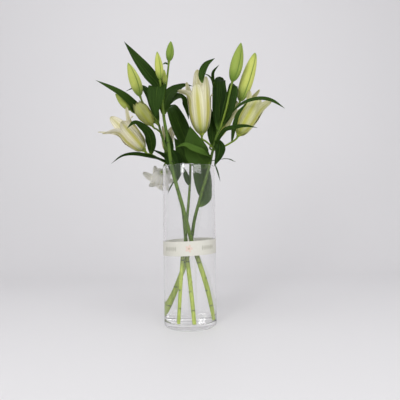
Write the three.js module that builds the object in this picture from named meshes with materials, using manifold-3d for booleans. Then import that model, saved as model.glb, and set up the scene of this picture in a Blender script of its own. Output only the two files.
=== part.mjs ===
// Cut lilies in a straight glass vase: four leafy stems, seven buds and seven blooms,
// standing in water, with a paper band round the glass.
// Millimetres. Z is up, the foot rests on Z 0, the vase's axis is the Z axis, -Y is the front.
import * as THREE from 'three';
import { mergeVertices } from 'three/addons/utils/BufferGeometryUtils.js';
import Module from 'manifold-3d';

const wasm = await Module();
wasm.setup();

// Driving dimensions.
const GAP = 0.3; // between pieces that rest on each other
const VASE = { height: 400, radius: 66, wall: 4, floor: 13, heel: 7, sides: 32 };
const WATER_LEVEL = 190;
const BAND = { low: 179, height: 35, thickness: 0.7, rise: 0.037 };
const LEAF = { thickness: 0.9, rows: 6, columns: 2, fold: 0.22, heel: 0.06, early: 0.8, least: 0.04 };
const PETAL = {
  thickness: 1.1,
  rows: 5,
  columns: 4,
  // Where its spine starts, and how it goes on, as shares of the mouth's radius and of the length.
  foot: [4.4, 3],
  spine: [[0.58, 0.13], [0.92, 0.4], [1, 0.7]],
  // The angle that it wraps round the tube to each side, and how it flattens towards the tip.
  footAngle: 0.42,
  wrapAngle: 0.5,
  flatFrom: 0.6,
  flatten: 80,
  crowd: 0.45, // how much closer its rows lie at the tip
};
const INNER_PETAL = { width: 0.33, offset: 0 };
const OUTER_PETAL = { width: 0.24, offset: 2.6 };
const BUD = { rows: 6, sides: 12, fullness: 0.7, ribs: 3, ribRise: 0.06 };
const CUP = { foot: 5.4, radius: 7.4, height: 6, sides: 12 }; // the green cup that petals grow from
const STALK = { radius: 2.4, sides: 6, steps: 4, straight: 8 };
const STEM = { sides: 8, steps: 12, shrink: 0.36 }; // shrink: how much thinner it is at its top
const STAMEN = {
  radius: 1, sides: 3, foot: 2, rise: 4, spread: 0.6, reach: 0.72, stagger: 0.04,
};
const ANTHER = { size: [2, 2, 8], lean: 0.7 };
const PISTIL = { sides: 5, ovary: 2.8, ovaryLength: 16, neck: 4, radius: 1.9, stigma: 3.4, reach: 0.8 };
const HOLE = { socket: 0.8, depth: 10, overlap: 1.5 }; // each stem's hole, wider under its cut end

const UP = new THREE.Vector3(0, 0, 1);
const vector = ([x, y, z]) => new THREE.Vector3(x, y, z);

// ---------------------------------------------------------------- materials

const material = (color, roughness, opacity = 1) =>
  new THREE.MeshStandardMaterial({ color, roughness, metalness: 0, opacity, transparent: opacity < 1 });
const GLASS = material(0xe6ecea, 0.05, 0.3);
const WATER = material(0xdfe9e4, 0.05, 0.4);
const PAPER = material(0xe4e2d6, 0.8);
const GREENERY = material(0x3f6328, 0.55);
const BUD_SKIN = material(0xaebf5f, 0.5);
const PETAL_SKIN = material(0xe6dfc8, 0.55);
const STAMENS = material(0xc9b66a, 0.6);

// ---------------------------------------------------------------- solids

// Turns a closed geometry into a solid that can be joined and cut.
function solid(geometry) {
  geometry.deleteAttribute('normal');
  geometry.deleteAttribute('uv');
  const merged = mergeVertices(geometry, 1e-3);
  const corners = merged.index.array;
  const kept = [];
  for (let i = 0; i < corners.length; i += 3) {
    const [a, b, c] = corners.slice(i, i + 3);
    if (a !== b && b !== c && c !== a) kept.push(a, b, c);
  }
  return new wasm.Manifold(new wasm.Mesh({
    numProp: 3,
    vertProperties: merged.attributes.position.array,
    triVerts: new Uint32Array(kept),
  }));
}

// Joins solids that grow from each other. Its outer skin alone is kept, so that a hollow which
// the joining seals is filled.
function fuse(solids) {
  const skins = solids.reduce((whole, next) => whole.add(next)).decompose();
  return skins.reduce((largest, next) => (next.volume() > largest.volume() ? next : largest));
}

function meshOf(name, shape, skin) {
  const made = shape.getMesh();
  const geometry = new THREE.BufferGeometry();
  geometry.setAttribute('position', new THREE.BufferAttribute(made.vertProperties, 3));
  geometry.setIndex(new THREE.BufferAttribute(made.triVerts, 1));
  geometry.computeVertexNormals();
  const mesh = new THREE.Mesh(geometry, skin);
  mesh.name = name;
  return mesh;
}

// A turned shape about the Z axis, from points [radius, height].
function turned(profile, sides) {
  const points = profile.map(([r, z]) => new THREE.Vector2(r, z));
  return new THREE.LatheGeometry(points, sides).rotateX(Math.PI / 2);
}

// Points of a quarter round about [r, z], from one angle to another.
function quarter(r, z, radius, from, to, steps) {
  return Array.from({ length: steps + 1 }, (_, i) => {
    const angle = THREE.MathUtils.degToRad(from + (to - from) * i / steps);
    return [r + radius * Math.cos(angle), z + radius * Math.sin(angle)];
  });
}

// A round rod along a curve, thinner at its end by shrink.
function rod(curve, radius, sides, steps, shrink = 0) {
  const geometry = new THREE.CylinderGeometry(radius, radius, 1, sides, steps);
  const centres = curve.getSpacedPoints(steps);
  const { normals, binormals } = curve.computeFrenetFrames(steps);
  const place = geometry.attributes.position;
  for (let i = 0; i < place.count; i += 1) {
    const step = Math.round((place.getY(i) + 0.5) * steps);
    const size = 1 - shrink * (step / steps) ** 2;
    const point = centres[step].clone()
      .addScaledVector(normals[step], size * place.getX(i))
      .addScaledVector(binormals[step], -size * place.getZ(i));
    place.setXYZ(i, ...point);
  }
  return solid(geometry);
}

const curveThrough = (points) => new THREE.CatmullRomCurve3(points, false, 'centripetal');

// A thin sheet of even thickness. place(along, across) gives its middle surface, with along
// from 0 to 1 and across from -1 to 1. Both faces are split into triangles alike.
function sheet(rows, columns, thickness, place) {
  const grid = [];
  for (let row = 0; row <= rows; row += 1) {
    grid.push([]);
    for (let column = 0; column <= columns; column += 1) {
      grid[row].push(place(row / rows, 2 * column / columns - 1));
    }
  }
  const near = (list, i) => list[THREE.MathUtils.clamp(i, 0, list.length - 1)];
  const normalAt = (row, column) => {
    const along = near(grid, row + 1)[column].clone().sub(near(grid, row - 1)[column]);
    const across = near(grid[row], column + 1).clone().sub(near(grid[row], column - 1));
    return across.cross(along).normalize();
  };
  const points = [];
  for (const side of [0.5, -0.5]) {
    grid.forEach((line, row) => line.forEach((point, column) => {
      points.push(point.clone().addScaledVector(normalAt(row, column), side * thickness));
    }));
  }
  const width = columns + 1;
  const face = width * (rows + 1);
  const index = [];
  const quad = (a, b, c, d) => index.push(a, b, c, a, c, d);
  for (let row = 0; row < rows; row += 1) {
    for (let column = 0; column < columns; column += 1) {
      const a = row * width + column;
      const [b, c, d] = [a + 1, a + width + 1, a + width];
      const turn = column < columns / 2;
      const [p, q, r, s] = turn ? [a, b, c, d] : [b, c, d, a];
      quad(p, q, r, s);
      quad(r + face, q + face, p + face, s + face);
    }
  }
  const rim = [];
  for (let column = 0; column < columns; column += 1) rim.push(column);
  for (let row = 0; row < rows; row += 1) rim.push(row * width + columns);
  for (let column = columns; column > 0; column -= 1) rim.push(rows * width + column);
  for (let row = rows; row > 0; row -= 1) rim.push(row * width);
  rim.forEach((a, i) => {
    const b = rim[(i + 1) % rim.length];
    quad(a, a + face, b + face, b);
  });
  const geometry = new THREE.BufferGeometry().setFromPoints(points);
  geometry.setIndex(index);
  return geometry;
}

// ---------------------------------------------------------------- leaves

// How wide a leaf is along its length, 1 at its widest. The less early is, the nearer that is
// to its foot.
const leafOutline = (t, early) => {
  const place = LEAF.heel + (1 - LEAF.heel) * t ** early;
  return Math.max(LEAF.least, Math.sin(Math.PI * place));
};

// A lance-shaped leaf along a spine, folded a little along its midrib. face points to the side
// that its upper surface looks to.
function leaf({ path, width, face, rows = LEAF.rows, early = LEAF.early }) {
  const spine = curveThrough(path);
  return solid(sheet(rows, LEAF.columns, LEAF.thickness, (along, across) => {
    const centre = spine.getPointAt(along);
    const ahead = spine.getTangentAt(along);
    const side = ahead.clone().cross(vector(face)).normalize();
    const upper = side.clone().cross(ahead);
    const half = width / 2 * leafOutline(along, early);
    centre.addScaledVector(side, half * across);
    return centre.addScaledVector(upper, LEAF.fold * half * Math.abs(across));
  }));
}

// ---------------------------------------------------------------- buds and blooms

// Places a shape made along +Z at base, turned by roll and pointing to tip.
function aim(geometry, base, tip, roll = 0) {
  const axis = vector(tip).sub(vector(base)).normalize();
  const turn = new THREE.Quaternion().setFromUnitVectors(UP, axis);
  const spin = new THREE.Quaternion().setFromAxisAngle(UP, THREE.MathUtils.degToRad(roll));
  geometry.applyQuaternion(turn.multiply(spin));
  return geometry.translate(...base);
}

const lengthOf = ({ base, tip }) => vector(base).distanceTo(vector(tip));

const budOutline = (t, fullness) => Math.sin(Math.PI * t ** 0.75) ** fullness;

// A closed bud: spindle-shaped, with soft ribs where its outer petals bulge.
function bud({ base, tip, radius, fullness = BUD.fullness }) {
  const length = lengthOf({ base, tip });
  const profile = [[0, 0]];
  for (let row = 1; row < BUD.rows; row += 1) {
    const t = row / BUD.rows;
    profile.push([radius * budOutline(t, fullness), length * t]);
  }
  profile.push([0, length]);
  const geometry = turned(profile, BUD.sides);
  const place = geometry.attributes.position;
  for (let i = 0; i < place.count; i += 1) {
    const angle = Math.atan2(place.getY(i), place.getX(i));
    const swell = 1 + BUD.ribRise * Math.cos(BUD.ribs * angle);
    place.setXY(i, place.getX(i) * swell, place.getY(i) * swell);
  }
  return solid(aim(geometry, base, tip));
}

const petalOutline = (t) => Math.max(0.06, 0.24 * (1 - t) ** 2 + Math.sin(Math.PI * t ** 1.3) ** 0.55);

// One petal of a trumpet that opens along +Z. Its spine starts in the tube, swells to the
// mouth and ends at its tip, given as a radius and a share of the bloom's length; low down it
// wraps round the tube, and it flattens to the tip. Its rows lie closer towards the tip.
function petal({ length, mouth, broad = 1 }, [tipRadius, tipReach], { width, offset }, turn) {
  const spine = new THREE.SplineCurve([
    new THREE.Vector2(...PETAL.foot),
    ...PETAL.spine.map(([out, up]) => new THREE.Vector2(out * mouth, up * length)),
    new THREE.Vector2(tipRadius, tipReach * length),
  ]);
  const geometry = sheet(PETAL.rows, PETAL.columns, PETAL.thickness, (row, across) => {
    const along = row * (1 + PETAL.crowd * (1 - row));
    const { x: radius, y: height } = spine.getPoint(along);
    const ahead = spine.getTangent(along);
    const bend = radius + PETAL.flatten * Math.max(0, along - PETAL.flatFrom) ** 2;
    const half = width / 2 * length * broad * petalOutline(along);
    const most = PETAL.footAngle + PETAL.wrapAngle * Math.min(1, 2.5 * along);
    const angle = Math.min(most, half / bend) * across;
    const lift = bend * (Math.cos(angle) - 1) + offset * Math.min(1, 3 * along);
    return new THREE.Vector3(radius + lift * ahead.y, bend * Math.sin(angle), height - lift * ahead.x);
  });
  return geometry.rotateZ(THREE.MathUtils.degToRad(turn));
}

// A bloom: three inner and three outer petals growing from a cup.
function bloom(shape) {
  const { base, tip, roll = 0 } = shape;
  const form = { ...shape, length: lengthOf(shape) };
  const cup = [[0, 0], [CUP.foot, 0], [CUP.radius, CUP.height], [0, CUP.height]];
  const pieces = [turned(cup, CUP.sides)];
  for (let i = 0; i < 6; i += 1) {
    const tipPlace = shape.tips[i % shape.tips.length];
    pieces.push(petal(form, tipPlace, i % 2 ? INNER_PETAL : OUTER_PETAL, 60 * i));
  }
  return fuse(pieces.map((piece) => solid(aim(piece, base, tip, roll))));
}

// One stamen: its filament leans out from the foot to the anther, which hangs across its end.
function stamen(foot, spread, reach) {
  const run = reach - foot - STAMEN.rise;
  const filament = new THREE.CylinderGeometry(STAMEN.radius, STAMEN.radius, run, STAMEN.sides);
  filament.rotateX(Math.PI / 2).translate(0, 0, run / 2);
  const place = filament.attributes.position;
  for (let i = 0; i < place.count; i += 1) {
    const out = THREE.MathUtils.lerp(STAMEN.foot, spread, place.getZ(i) / run);
    place.setX(i, place.getX(i) + out);
  }
  const anther = new THREE.OctahedronGeometry(1).scale(...ANTHER.size).rotateY(-ANTHER.lean);
  return [filament.translate(0, 0, foot + STAMEN.rise), anther.translate(spread, 0, reach)];
}

// The pistil and six stamens inside a bloom, joined at their foot.
function heart(shape) {
  const { base, tip, roll = 0, mouth } = shape;
  const length = lengthOf(shape);
  const foot = CUP.height + GAP;
  const neck = foot + PISTIL.ovaryLength;
  const top = PISTIL.reach * length;
  const profile = [
    [0, foot], [PISTIL.ovary, foot], [PISTIL.ovary, neck], [PISTIL.radius, neck + PISTIL.neck],
    [PISTIL.radius, top - 5], [PISTIL.stigma, top], [0, top],
  ];
  const pieces = [turned(profile, PISTIL.sides)];
  for (let i = 0; i < 6; i += 1) {
    const reach = (STAMEN.reach - STAMEN.stagger * (i % 2)) * length;
    const turn = THREE.MathUtils.degToRad(60 * i);
    pieces.push(...stamen(foot, STAMEN.spread * mouth, reach).map((piece) => piece.rotateZ(turn)));
  }
  return fuse(pieces.map((piece) => solid(aim(piece, base, tip, roll))));
}

// ---------------------------------------------------------------- the bouquet

const FRONT = [0, -1, 0.15];
const SKY = [0, -0.25, 1];

// Each stem has its path from the floor of the vase up, its leaves and its flower stalks.
// at is the height on the stem where a leaf or stalk grows, and its own points follow from
// there. A leaf without it grows from a stalk, at its first point.
const BOUQUET = [
  {
    name: 'leafy_stem_1',
    radius: 5.3,
    path: [
      [51, -12, 15], [34, -16, 102], [5, -22, 214], [-16, -27, 300], [-41, -38, 400],
      [-49, -38, 462], [-58, -38, 516], [-62, -38, 566],
    ],
    leaves: [
      {
        at: 552, width: 31, face: FRONT,
        path: [[-70, -44, 596], [-90, -50, 620], [-118, -54, 656], [-153, -48, 705]],
      },
      {
        root: [-61, -40, 560], width: 44, face: [0, 0, 1],
        path: [[-66, -46, 580], [-70, -55, 590], [-72, -66, 575], [-73, -80, 543], [-72, -92, 504]],
      },
      {
        root: [-46, -38, 650], width: 5, face: FRONT, rows: 2,
        path: [[-52, -41, 652], [-60, -44, 648]],
      },
      {
        at: 524, width: 30, face: FRONT,
        path: [[-52, -14, 574], [-32, 26, 608], [-8, 56, 628], [13, 68, 628]],
      },
      {
        at: 524, width: 34, face: [0, -0.8, 0.6], rows: 7,
        path: [
          [-56, -22, 553], [-45, -6, 573], [-30, 10, 583], [-17, 22, 583], [-5, 34, 566], [1, 40, 530],
        ],
      },
    ],
    buds: [
      {
        name: 'bud_1', at: 556, radius: 10,
        via: [[-52, -38, 596], [-48, -38, 623]], base: [-44, -38, 658], tip: [-39, -34, 710],
      },
      {
        name: 'bud_2', at: 556, radius: 10,
        via: [[-63, -54, 581]], base: [-64, -66, 603], tip: [-69, -80, 666],
      },
      { name: 'bud_3', at: 556, via: [], base: [-56, -48, 597], tip: [-55, -54, 632], radius: 6.2 },
    ],
    blooms: [],
  },
  {
    name: 'leafy_stem_2',
    radius: 4.6,
    path: [
      [10, -55, 15], [-9, 9, 205], [-19, 26, 300], [-45.5, 32, 400], [-52, 34, 425],
      [-62, 36, 458], [-73, 35, 496], [-80, 27, 526],
    ],
    leaves: [
      {
        at: 518, width: 28, face: [0, -0.9, 0.5],
        path: [[-108, 20, 532], [-131, 14, 549], [-140, 4, 562], [-175, -26, 588], [-226, -40, 613]],
      },
      {
        at: 410, width: 16, face: [0, -1, 0.7],
        path: [[-66, 28, 419], [-94, -6, 425], [-127, -30, 429], [-160, -42, 424], [-187, -48, 404]],
      },
      { at: 420, path: [[-72, 52, 440], [-101, 60, 455]], width: 12, face: [0, -1, 0.8], rows: 4 },
      { at: 450, path: [[-40, 18, 420], [-32, 9, 390], [-36, 7, 352]], width: 42, face: FRONT },
      {
        root: [-38, 10, 364], path: [[-47, 7, 349], [-55, 4, 331]], width: 4, face: FRONT, rows: 3,
      },
      {
        at: 520, width: 24, face: [0, -0.8, 0.6],
        path: [[-92, 40, 566], [-102, 46, 596], [-122, 46, 619], [-148, 48, 618], [-168, 50, 611]],
      },
      { at: 428, path: [[-54, 62, 466], [-60, 62, 512]], width: 26, face: FRONT },
      {
        root: [-96, 4, 433], width: 27, face: [0, -1, 0.35], rows: 7,
        path: [[-92, -20, 456], [-96, -46, 476], [-109, -66, 490], [-124, -82, 496], [-140, -94, 480]],
      },
    ],
    buds: [
      {
        name: 'bud_4', at: 518, radius: 15,
        via: [[-99, 18, 546], [-116, 8, 568]], base: [-122, 2, 583], tip: [-154, 10, 674],
      },
      {
        name: 'bud_5', at: 512, radius: 12,
        via: [[-94, 20, 527], [-122, 12, 540]], base: [-146, 7, 549], tip: [-184, -6, 588],
      },
    ],
    blooms: [
      {
        name: 'bloom_1', at: 495, mouth: 16, roll: 30,
        via: [[-82, 14, 500]], base: [-91, -4, 506], tip: [-127, -38, 556], tips: [[7, 0.97]],
      },
      {
        name: 'bloom_2', at: 412, mouth: 25, roll: 45, open: true,
        via: [[-66, 34, 418], [-92, 6, 431]], base: [-110, -10, 440], tip: [-180, -44, 520],
        tips: [[48, 1], [46, 1.05], [58, 1], [60, 0.9], [34, 0.84], [38, 0.74]],
      },
      {
        name: 'bloom_3', at: 418, mouth: 21, roll: 38, open: true, broad: 1.5,
        via: [[-52, 60, 432], [-68, 68, 411]], base: [-75, 82, 395], tip: [-95, 134, 372],
        tips: [[44, 0.5], [42, 0.55], [46, 0.5], [48, 0.55], [40, 0.6], [42, 0.6]],
      },
    ],
  },
  {
    name: 'leafy_stem_3',
    radius: 4,
    path: [
      [-26, -46, 15], [-11.5, -7, 205], [1, 22, 341], [4, 36, 408], [4, 44, 448], [-4, 52, 488],
    ],
    leaves: [
      {
        at: 440, width: 45, face: FRONT, rows: 7,
        path: [
          [-7, 50, 474], [-19, 54, 505], [-32, 58, 538], [-45, 68, 568], [-52, 94, 576], [-55, 122, 562],
        ],
      },
      { at: 412, path: [[-13, 50, 432], [-26, 56, 462], [-40, 58, 486]], width: 34, face: FRONT },
      { at: 352, path: [[-7, 16, 377], [-15, 12, 403]], width: 15, face: FRONT, rows: 4 },
    ],
    buds: [],
    blooms: [
      {
        name: 'bloom_7', at: 440, mouth: 15, roll: 0,
        via: [[-30, 72, 440]], base: [-65, 92, 455], tip: [-59, 102, 518], tips: [[25, 1]],
      },
    ],
  },
  {
    name: 'leafy_stem_4',
    radius: 4.6,
    path: [
      [-43, 33, 15], [-19, 26, 112], [4, 14, 211], [13, 9, 263], [27, 3, 314], [54, -4, 403],
      [60, -3, 430], [66, 0, 452], [74, 4, 480], [85, 8, 502],
    ],
    leaves: [
      {
        at: 492, width: 40, face: FRONT,
        path: [[81, 16, 532], [84, 24, 575], [83, 24, 618], [89, 48, 638], [94, 74, 632], [97, 94, 615]],
      },
      {
        at: 498, width: 30, face: FRONT,
        path: [[98, 6, 530], [108, 4, 560], [116, 4, 592], [119, 14, 611], [127, 44, 613], [132, 66, 598]],
      },
      {
        at: 480, width: 13, face: FRONT,
        path: [[80, 30, 550], [76, 30, 590], [68, 14, 616], [56, -16, 626], [36, -48, 625]],
      },
      {
        root: [38, -46, 600], width: 18, face: FRONT,
        path: [[36, -44, 615], [39, -40, 631], [49, -36, 650], [71, -26, 669]],
      },
      { root: [68, 10, 616], path: [[66, -4, 639], [82, -4, 660]], width: 8, face: FRONT, rows: 4 },
      {
        root: [92, 8, 512], width: 12, face: [0, -1, 0.5], rows: 7, early: 1.8,
        path: [[124, -36, 541], [146, -50, 552], [178, -58, 556], [206, -62, 549], [235, -66, 529]],
      },
      {
        root: [110, -12, 459], width: 14, face: [0.5, -1, 0.3],
        path: [[114, -34, 490], [124, -46, 522], [149, -50, 551]],
      },
      {
        at: 438, width: 13, face: [0, -1, 0.35], early: 1.2,
        path: [[90, -42, 482], [115, -58, 487], [139, -66, 488], [168, -68, 483]],
      },
      {
        at: 424, width: 20, face: [0, -0.9, 0.5],
        path: [[36, -30, 432], [12, -40, 441], [-7, -42, 449], [-33, -38, 442]],
      },
      { at: 400, path: [[27, -16, 422], [14, -24, 455], [6, -26, 498]], width: 60, face: FRONT },
      {
        at: 470, width: 28, face: [0.3, -1, 0.2], rows: 5,
        path: [[79, -16, 451], [75, -44, 422], [63, -62, 392]],
      },
      {
        root: [65, -60, 398], path: [[71, -66, 379], [77, -70, 355]], width: 3.6, face: FRONT, rows: 3,
      },
      { at: 448, path: [[63, 16, 483], [62, 24, 511], [58, 30, 545], [56, 34, 572]], width: 27, face: FRONT },
      {
        at: 412, width: 14, face: SKY, rows: 5,
        path: [[76, -40, 411], [95, -66, 409], [112, -90, 399]],
      },
      {
        at: 298, width: 46, rows: 8, early: 0.95, face: FRONT,
        path: [[34, 6, 307], [43, 9, 322], [40, 10, 341], [36, 10, 368], [32, 8, 400], [38, 0, 470]],
      },
    ],
    buds: [
      {
        name: 'bud_6', at: 498, radius: 16.5,
        via: [[98, -3, 545], [108, -5, 588]], base: [116, 6, 619], tip: [141, 12, 723],
      },
      {
        name: 'bud_7', at: 496, radius: 17.5, fullness: 0.5,
        via: [[109, 24, 539]], base: [138, 36, 577], tip: [184, 60, 714],
      },
    ],
    blooms: [
      {
        name: 'bloom_4', at: 446, mouth: 28, roll: 23, open: true,
        via: [[46, -6, 462]], base: [35, -6, 478], tip: [26, -8, 619],
        tips: [[38, 0.75], [14, 1.23], [32, 1.03], [56, 0.8], [30, 0.88], [28, 1.02]],
      },
      {
        name: 'bloom_5', at: 440, mouth: 23, roll: 25, open: true,
        via: [[88, -6, 448], [109, -12, 458]], base: [126, -14, 474], tip: [186, 0, 577],
        tips: [[24, 1], [16, 1.02], [10, 1.16], [34, 0.95], [24, 0.88], [37, 0.96]],
      },
      {
        name: 'bloom_6', at: 440, mouth: 20, roll: 0,
        via: [[56, 30, 452]], base: [66, 48, 474], tip: [119, 72, 583], tips: [[28, 0.98]],
      },
    ],
  },
];

// The point of a stem's curve at a height, found by halving.
function pointAtHeight(curve, height) {
  let [low, high] = [0, 1];
  for (let i = 0; i < 30; i += 1) {
    const middle = (low + high) / 2;
    if (curve.getPoint(middle).z < height) low = middle;
    else high = middle;
  }
  return curve.getPoint(low);
}

// A flower stalk ends square to the base of its bud or bloom, a gap below it.
function stalk(start, { via, base, tip }) {
  const axis = vector(tip).sub(vector(base)).normalize();
  const below = (distance) => vector(base).addScaledVector(axis, -distance);
  const curve = curveThrough([start, ...via.map(vector), below(STALK.straight), below(GAP)]);
  return rod(curve, STALK.radius, STALK.sides, STALK.steps);
}

function leafyStem({ path, radius, leaves, buds, blooms }) {
  const curve = curveThrough(path.map(vector));
  const start = ({ at, root }) => (root ? vector(root) : pointAtHeight(curve, at));
  return fuse([
    rod(curve, radius, STEM.sides, STEM.steps, STEM.shrink),
    ...leaves.map((each) => leaf({ ...each, path: [start(each), ...each.path.map(vector)] })),
    ...[...buds, ...blooms].map((each) => stalk(start(each), each)),
  ]);
}

// ---------------------------------------------------------------- vase, water and band

// The inside of the glass, drawn in by a clearance, from the floor's middle to a height.
function insideProfile(clearance, top) {
  const wall = VASE.radius - VASE.wall - clearance;
  const floor = VASE.floor + clearance;
  const turn = VASE.heel - clearance;
  return [[0, floor], ...quarter(wall - turn, floor + turn, turn, -90, 0, 3), [wall, top]];
}

function vase() {
  const lip = VASE.wall / 2;
  const foot = quarter(VASE.radius - VASE.heel, VASE.heel, VASE.heel, -90, 0, 3);
  const rim = quarter(VASE.radius - lip, VASE.height - lip, lip, 0, 180, 4);
  const inside = insideProfile(0, VASE.height - lip).reverse().slice(1);
  return solid(turned([[0, 0], ...foot, ...rim, ...inside], VASE.sides));
}

// The water fills the vase round the stems, which stand in plain holes in it.
function water() {
  const body = solid(turned([...insideProfile(GAP, WATER_LEVEL), [0, WATER_LEVEL]], VASE.sides));
  return BOUQUET.reduce((left, { path, radius }) => {
    const curve = curveThrough(path.map(vector));
    const end = (distance) => curve.getPoint(0).addScaledVector(curve.getTangent(0), distance);
    const socket = new THREE.LineCurve3(end(-HOLE.depth), end(HOLE.overlap));
    return left
      .subtract(rod(curve, radius + GAP, STEM.sides, STEM.steps, STEM.shrink))
      .subtract(rod(socket, radius + HOLE.socket, STEM.sides, 1));
  }, body);
}

// The band is a ring of paper that sits a little askew.
function band() {
  const inner = VASE.radius + GAP;
  const outer = inner + BAND.thickness;
  const top = BAND.low + BAND.height;
  const ring = turned([
    [inner, BAND.low], [outer, BAND.low], [outer, top], [inner, top], [inner, BAND.low],
  ], VASE.sides);
  const place = ring.attributes.position;
  for (let i = 0; i < place.count; i += 1) place.setZ(i, place.getZ(i) + BAND.rise * place.getX(i));
  return solid(ring);
}

// ---------------------------------------------------------------- assembly

const lilies = new THREE.Group();
lilies.add(meshOf('vase', vase(), GLASS));
lilies.add(meshOf('water', water(), WATER));
lilies.add(meshOf('band', band(), PAPER));
for (const stem of BOUQUET) {
  lilies.add(meshOf(stem.name, leafyStem(stem), GREENERY));
  for (const each of stem.buds) lilies.add(meshOf(each.name, bud(each), BUD_SKIN));
  for (const each of stem.blooms) {
    lilies.add(meshOf(each.name, bloom(each), PETAL_SKIN));
    if (each.open) lilies.add(meshOf(each.name.replace('bloom', 'stamens'), heart(each), STAMENS));
  }
}

export default lilies;
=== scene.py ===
"""Cut lilies in a straight glass vase with a paper band: fine surfaces, materials, camera, light.

Forms are drawn in millimetres, as the solids are, and turned into metres when a piece is made.
Z is up, the vase stands on Z 0 with its axis on the Z axis, and -Y is the front.
"""

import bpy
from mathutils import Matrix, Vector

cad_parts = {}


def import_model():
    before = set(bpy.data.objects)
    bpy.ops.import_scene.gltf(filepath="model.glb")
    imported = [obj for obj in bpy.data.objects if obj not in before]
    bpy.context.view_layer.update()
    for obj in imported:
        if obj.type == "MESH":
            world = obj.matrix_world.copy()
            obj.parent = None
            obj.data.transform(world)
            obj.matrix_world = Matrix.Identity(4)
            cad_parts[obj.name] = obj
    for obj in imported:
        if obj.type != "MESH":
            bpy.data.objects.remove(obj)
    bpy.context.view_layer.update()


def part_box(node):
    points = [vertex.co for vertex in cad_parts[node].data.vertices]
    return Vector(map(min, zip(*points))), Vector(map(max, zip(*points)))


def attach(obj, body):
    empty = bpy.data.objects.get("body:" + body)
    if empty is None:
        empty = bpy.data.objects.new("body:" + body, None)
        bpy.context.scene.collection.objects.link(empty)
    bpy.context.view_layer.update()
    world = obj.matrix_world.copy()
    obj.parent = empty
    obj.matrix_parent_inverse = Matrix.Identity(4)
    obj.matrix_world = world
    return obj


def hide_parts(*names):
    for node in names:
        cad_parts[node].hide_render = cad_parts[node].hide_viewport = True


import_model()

import math
from functools import partialmethod
from types import SimpleNamespace

import bpy
import numpy as np
from mathutils import Matrix, Vector

MM = 0.001


def top_of(node):
    """The height of a node's highest point, in millimetres."""
    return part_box(node)[1].z / MM


# Driving dimensions, in millimetres. The rest are counts, shares, exponents and angles in radians.
GAP = 0.3  # between pieces that meet
AXIS_GAP = 0.01  # how near to its axis a turned outline starts and ends
EDGE_THINNING = 0.75  # how much thinner a leaf or petal is at its edges
CURVE_STEPS = 40  # on each stretch of a smooth curve
VASE = dict(
    height=top_of("vase"), radius=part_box("vase")[1].x / MM, wall=4, floor=13, heel=7, sides=160,
    heel_steps=10, lip_steps=12,
)
# The vase's underside: how far inside the ring it stands on, and at which share of the depth.
HOLLOW = dict(depth=1.6, ring=1, slope=[[14, 1], [8, 0.8], [4, 0.4], [1, 0.0625]])
WATER = dict(level=top_of("water"), overlap=0.3, meniscus=0.8, climb=3.3, climb_steps=8)
BAND = dict(low=179, height=35, thickness=0.4, rise=0.037)
PRINT = dict(core=4.6, petal=5.2, eye=1.6, leaf=6.5, sprig_at=50.3, sprig_reach=18)
LEAF = dict(
    rows=44, columns=12, thickness=0.55, heel=0.06, early=0.8, narrowest=0.012, fold=0.22, soft_fold=0.01,
    wave=0.035, waves=(1.6, 3.0), shift=1.3, edge_only=2.5, palest=0.28,
)
PETAL = dict(
    rows=40, columns=18, thickness=0.9, foot=[4.4, 3], spine=[[0.58, 0.13], [0.92, 0.4], [1, 0.7]],
    foot_angle=0.42, wrap_angle=0.5, wrap_by=2.5, flat_from=0.6, flatten=80, crowd=0.45,
    late=1.3, fullness=0.55, claw=0.24, narrowest=0.03, offset_by=3,
    ruffle=0.03, ruffles=(2, 3.5), ruffle_lift=3, keel=1.1, keel_width=0.13, inner_keel=-0.6,
)
INNER_PETAL = dict(width=0.33, offset=0, tone=0)
OUTER_PETAL = dict(width=0.24, offset=2.6, tone=0.06)
BUD = dict(
    rows=44, sides=60, fullness=0.7, early=0.75, blunt=0.004,
    ribs=3, rib_rise=0.06, seam=0.09, seam_width=0.13, vein_turn=4,
)
CUP = dict(foot=5.4, radius=7.4, height=6, sides=24, tone=0.2)
STALK = dict(radius=2.4, sides=14, steps=44, straight=8, flare=0.45, flare_length=5, sunk=0.2, tone=0.25)
# Under water a stem is painted paler and yellower, as painted light that the water gathers there; the slow
# change up to green_above keeps it darker just under the band, as painted band shadow.
STEM = dict(
    sides=24, steps=420, shrink=0.36, sway=0.02, sway_length=31, painted_light_below=140, green_above=205,
    scar=0.7, scar_every=23, scar_height=1.3, scar_tilt=1.6, scar_turn=2.4, stray=0.4,
)
STAMEN = dict(
    radius=0.9, sides=8, rings=15, rise=4, foot=2, belly=0.45, taper=0.45,
    spread=0.6, reach=0.72, stagger=0.04,
)
ANTHER = dict(half=7.5, lean=0.7, radius=1.55, tip=0.1, blunt=0.45, bulge=0.8, sides=12, rings=17)
PISTIL = dict(
    sides=30, ovary=2.7, ovary_length=16, neck=4, radius=1.5, stigma=3.4, reach=0.8,
    lobes=3, lobe=0.16, lobed=5,
)
PETALS = 6  # petals round a bloom, and stamens in it

FRONT = [0, -1, 0.15]  # where a leaf faces, unless it says otherwise
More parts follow.
